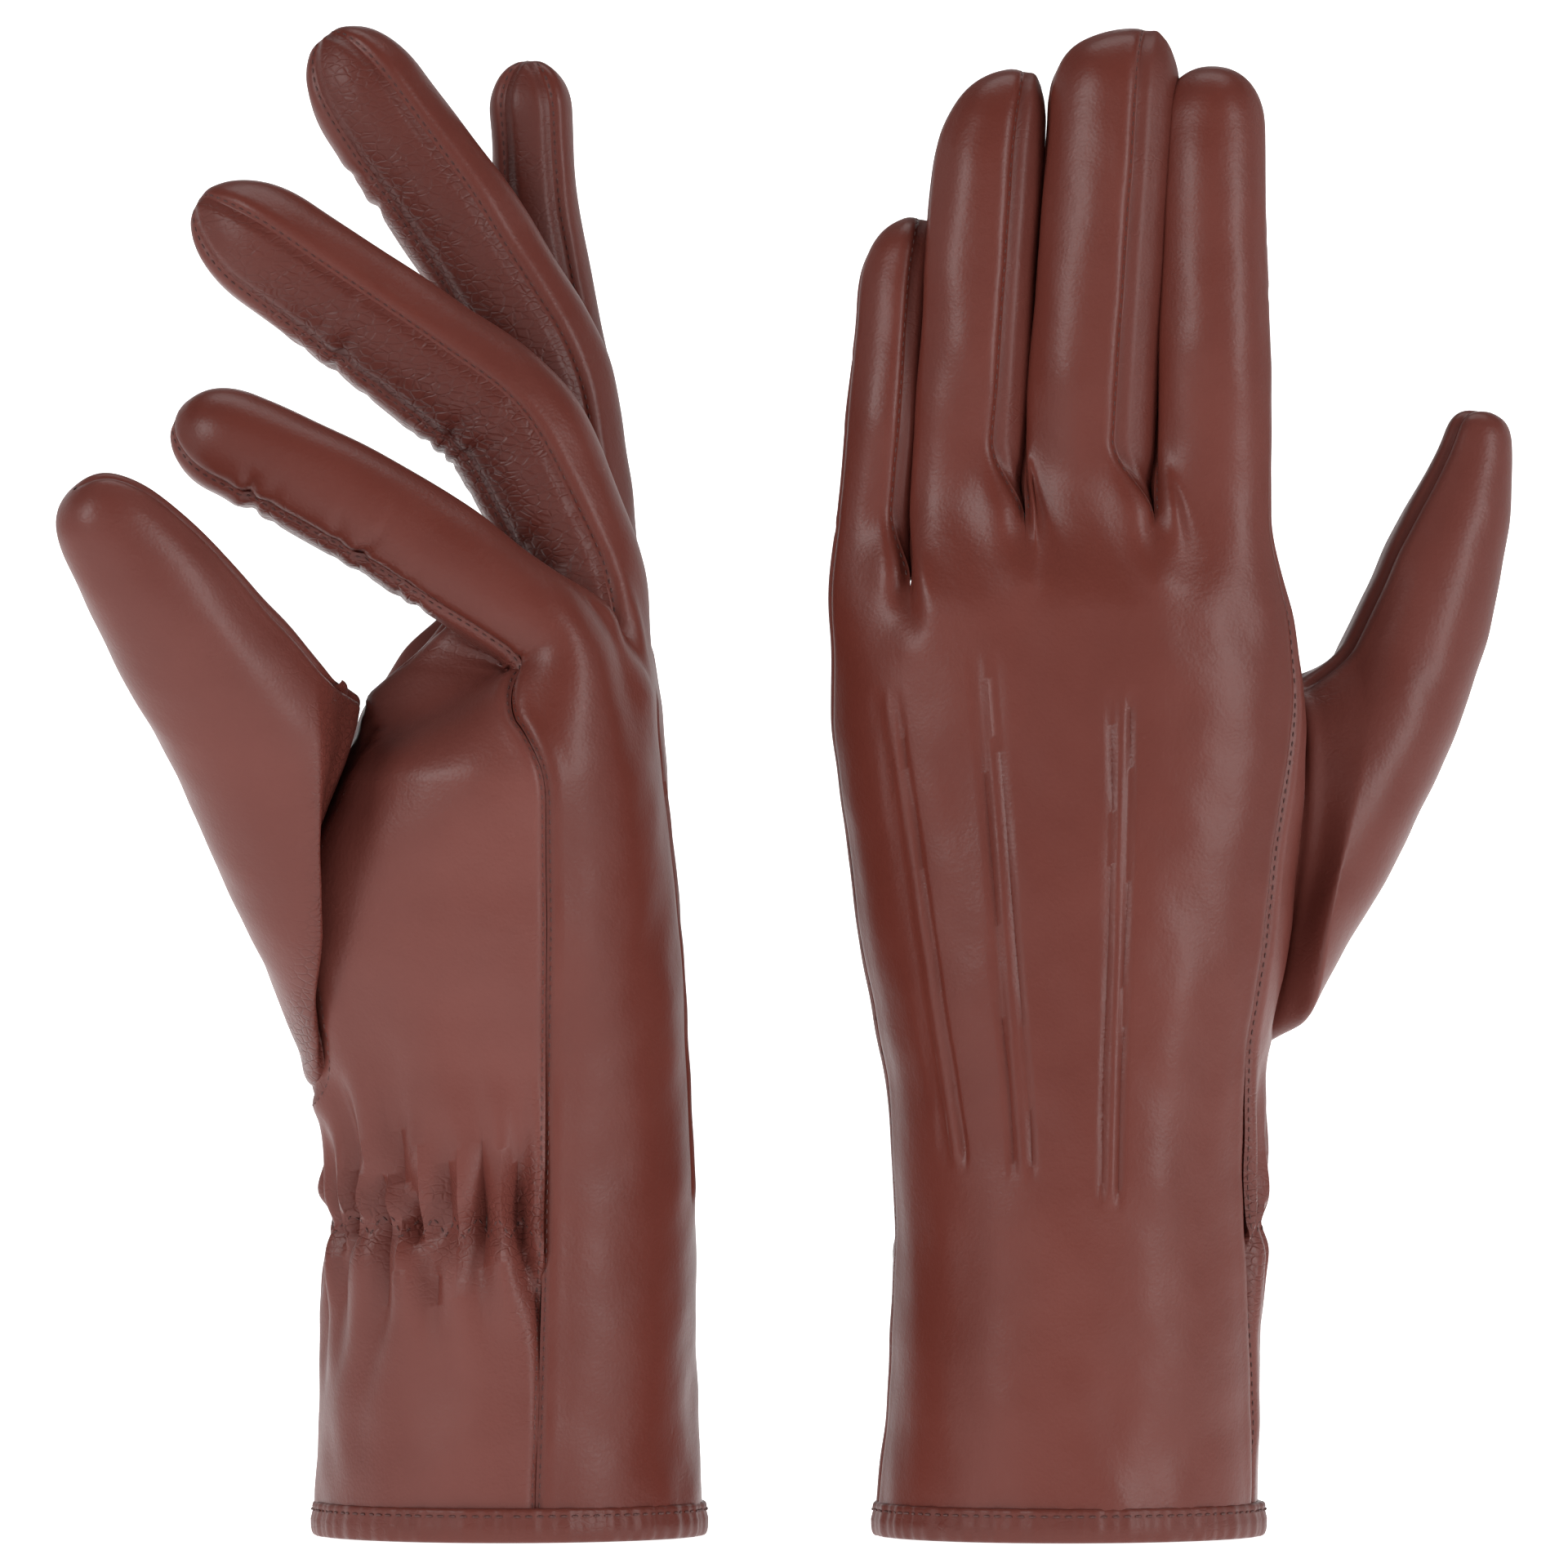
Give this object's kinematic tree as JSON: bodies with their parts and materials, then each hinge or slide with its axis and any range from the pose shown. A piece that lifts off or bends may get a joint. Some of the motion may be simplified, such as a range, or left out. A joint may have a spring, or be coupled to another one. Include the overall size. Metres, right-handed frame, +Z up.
{
  "type": "pair of leather dress gloves",
  "caption": "Pair of smooth brown leather dress gloves standing on their cuffs, one straight and one with bent fingers, with stitched points and a gathered wrist.",
  "frame": {"origin": "on the surface that both cuffs stand on, under the middle of the pair's bounding box", "axes": "+Z up from the cuffs to the fingertips, +X from the right-hand glove to the left-hand glove, -Y the side that shows the left-hand glove's back"},
  "size_m": [0.2524, 0.1054, 0.2606],
  "materials": {
    "glove_leather": "smooth semi-gloss",
    "palm_leather": "smooth semi-gloss, finely creased",
    "fork_leather": "smooth satin",
    "edge_binding": "smooth satin",
    "elastic_band": "woven elastic",
    "knit_lining": "fine knit",
    "sewing_thread": "twisted thread"
  },
  "bodies": {
    "right_hand": {"right_back_panel": "glove_leather", "right_palm_panel": "palm_leather", "right_cuff_binding": "edge_binding", "right_wrist_elastic": "elastic_band", "right_lining_sleeve": "knit_lining", "right_thumb_gusset": "palm_leather"},
    "right_index_lower": {"right_index_back": "glove_leather", "right_index_palm": "palm_leather", "right_index_little_fork": "fork_leather"},
    "right_index_end": {"right_index_tip_back": "glove_leather", "right_index_tip_palm": "palm_leather"},
    "right_middle_lower": {"right_middle_back": "glove_leather", "right_middle_palm": "palm_leather", "right_middle_thumb_fork": "fork_leather", "right_middle_little_fork": "fork_leather"},
    "right_middle_end": {"right_middle_tip_back": "glove_leather", "right_middle_tip_palm": "palm_leather"},
    "right_ring_lower": {"right_ring_back": "glove_leather", "right_ring_palm": "palm_leather", "right_ring_thumb_fork": "fork_leather", "right_ring_little_fork": "fork_leather"},
    "right_ring_end": {"right_ring_tip_back": "glove_leather", "right_ring_tip_palm": "palm_leather"},
    "right_little_lower": {"right_little_back": "glove_leather", "right_little_palm": "palm_leather", "right_little_thumb_fork": "fork_leather"},
    "right_little_end": {"right_little_tip_back": "glove_leather", "right_little_tip_palm": "palm_leather"},
    "right_thumb_base": {"right_thumb_lower": "palm_leather"},
    "right_thumb_end": {"right_thumb_tip": "palm_leather"},
    "left_hand": {"left_back_panel": "glove_leather", "left_palm_panel": "palm_leather", "left_cuff_binding": "edge_binding", "left_wrist_elastic": "elastic_band", "left_lining_sleeve": "knit_lining", "left_thumb_gusset": "palm_leather"},
    "left_index_lower": {"left_index_back": "glove_leather", "left_index_palm": "palm_leather", "left_index_little_fork": "fork_leather"},
    "left_index_end": {"left_index_tip_back": "glove_leather", "left_index_tip_palm": "palm_leather"},
    "left_middle_lower": {"left_middle_back": "glove_leather", "left_middle_palm": "palm_leather", "left_middle_thumb_fork": "fork_leather", "left_middle_little_fork": "fork_leather"},
    "left_middle_end": {"left_middle_tip_back": "glove_leather", "left_middle_tip_palm": "palm_leather"},
    "left_ring_lower": {"left_ring_back": "glove_leather", "left_ring_palm": "palm_leather", "left_ring_thumb_fork": "fork_leather", "left_ring_little_fork": "fork_leather"},
    "left_ring_end": {"left_ring_tip_back": "glove_leather", "left_ring_tip_palm": "palm_leather"},
    "left_little_lower": {"left_little_back": "glove_leather", "left_little_palm": "palm_leather", "left_little_thumb_fork": "fork_leather"},
    "left_little_end": {"left_little_tip_back": "glove_leather", "left_little_tip_palm": "palm_leather"},
    "left_thumb_base": {"left_thumb_lower": "palm_leather"},
    "left_thumb_end": {"left_thumb_tip": "palm_leather"}
  },
  "joints": [
    {"name": "left_glove_lift", "type": "slide", "parent": "right_hand", "child": "left_hand", "axis": [0, 0, 1], "range_m": [0, 0.3]},
    {"name": "right_index_root", "type": "hinge", "parent": "right_hand", "child": "right_index_lower", "pos_m": [-0.0383, -0.0133, 0.1545], "axis": [0, -1, 0], "range_deg": [-58, 12]},
    {"name": "right_index_middle", "type": "hinge", "parent": "right_index_lower", "child": "right_index_end", "pos_m": [-0.06581, -0.0133, 0.17448], "axis": [0, -1, 0], "range_deg": [-14, 60]},
    {"name": "right_middle_root", "type": "hinge", "parent": "right_hand", "child": "right_middle_lower", "pos_m": [-0.0333, 0.0079, 0.166], "axis": [0, -1, 0], "range_deg": [-36, 32]},
    {"name": "right_middle_middle", "type": "hinge", "parent": "right_middle_lower", "child": "right_middle_end", "pos_m": [-0.04833, 0.0079, 0.19311], "axis": [0, -1, 0], "range_deg": [-30, 45]},
    {"name": "right_ring_root", "type": "hinge", "parent": "right_hand", "child": "right_ring_lower", "pos_m": [-0.0338, 0.0289, 0.174], "axis": [0, -1, 0], "range_deg": [-22, 45]},
    {"name": "right_ring_middle", "type": "hinge", "parent": "right_ring_lower", "child": "right_ring_end", "pos_m": [-0.04106, 0.0289, 0.20311], "axis": [0, -1, 0], "range_deg": [-30, 50]},
    {"name": "right_little_root", "type": "hinge", "parent": "right_hand", "child": "right_little_lower", "pos_m": [-0.0323, 0.0461, 0.172], "axis": [0, -1, 0], "range_deg": [-18, 60]},
    {"name": "right_little_middle", "type": "hinge", "parent": "right_little_lower", "child": "right_little_end", "pos_m": [-0.03803, 0.04552, 0.20449], "axis": [0, -1, 0], "range_deg": [-10, 70]},
    {"name": "right_thumb_root", "type": "hinge", "parent": "right_hand", "child": "right_thumb_base", "pos_m": [-0.0804, -0.0239, 0.1243], "axis": [0.8036, 0, 0.5952], "range_deg": [-10, 14]},
    {"name": "right_thumb_middle", "type": "hinge", "parent": "right_thumb_base", "child": "right_thumb_end", "pos_m": [-0.1044, -0.0394, 0.1598], "axis": [-0.56, -0.56, -0.6106], "range_deg": [-12, 40]},
    {"name": "left_index_root", "type": "hinge", "parent": "left_hand", "child": "left_index_lower", "pos_m": [0.0742, 0.0021, 0.182], "axis": [-1, 0, 0], "range_deg": [-12, 70]},
    {"name": "left_index_middle", "type": "hinge", "parent": "left_index_lower", "child": "left_index_end", "pos_m": [0.07442, 0.00372, 0.21296], "axis": [-1, 0, 0], "range_deg": [-8, 80]},
    {"name": "left_middle_root", "type": "hinge", "parent": "left_hand", "child": "left_middle_lower", "pos_m": [0.0528, 0.0016, 0.183], "axis": [-1, 0, 0], "range_deg": [-12, 70]},
    {"name": "left_middle_middle", "type": "hinge", "parent": "left_middle_lower", "child": "left_middle_end", "pos_m": [0.05482, 0.00338, 0.21689], "axis": [-1, 0, 0], "range_deg": [-8, 80]},
    {"name": "left_ring_root", "type": "hinge", "parent": "left_hand", "child": "left_ring_lower", "pos_m": [0.0316, 0.0021, 0.182], "axis": [-1, 0, 0], "range_deg": [-12, 70]},
    {"name": "left_ring_middle", "type": "hinge", "parent": "left_ring_lower", "child": "left_ring_end", "pos_m": [0.03409, 0.00372, 0.21286], "axis": [-1, 0, 0], "range_deg": [-8, 80]},
    {"name": "left_little_root", "type": "hinge", "parent": "left_hand", "child": "left_little_lower", "pos_m": [0.0152, 0.0036, 0.171], "axis": [-1, 0, 0], "range_deg": [-12, 70]},
    {"name": "left_little_middle", "type": "hinge", "parent": "left_little_lower", "child": "left_little_end", "pos_m": [0.01703, 0.00534, 0.19587], "axis": [-1, 0, 0], "range_deg": [-8, 80]},
    {"name": "left_thumb_root", "type": "hinge", "parent": "left_hand", "child": "left_thumb_base", "pos_m": [0.0953, 0.0237, 0.125], "axis": [0, 0.9543, -0.2987], "range_deg": [-10, 14]},
    {"name": "left_thumb_middle", "type": "hinge", "parent": "left_thumb_base", "child": "left_thumb_end", "pos_m": [0.111, 0.0327, 0.1585], "axis": [-0.6453, -0.6453, 0.4087], "range_deg": [-12, 55]}
  ]
}
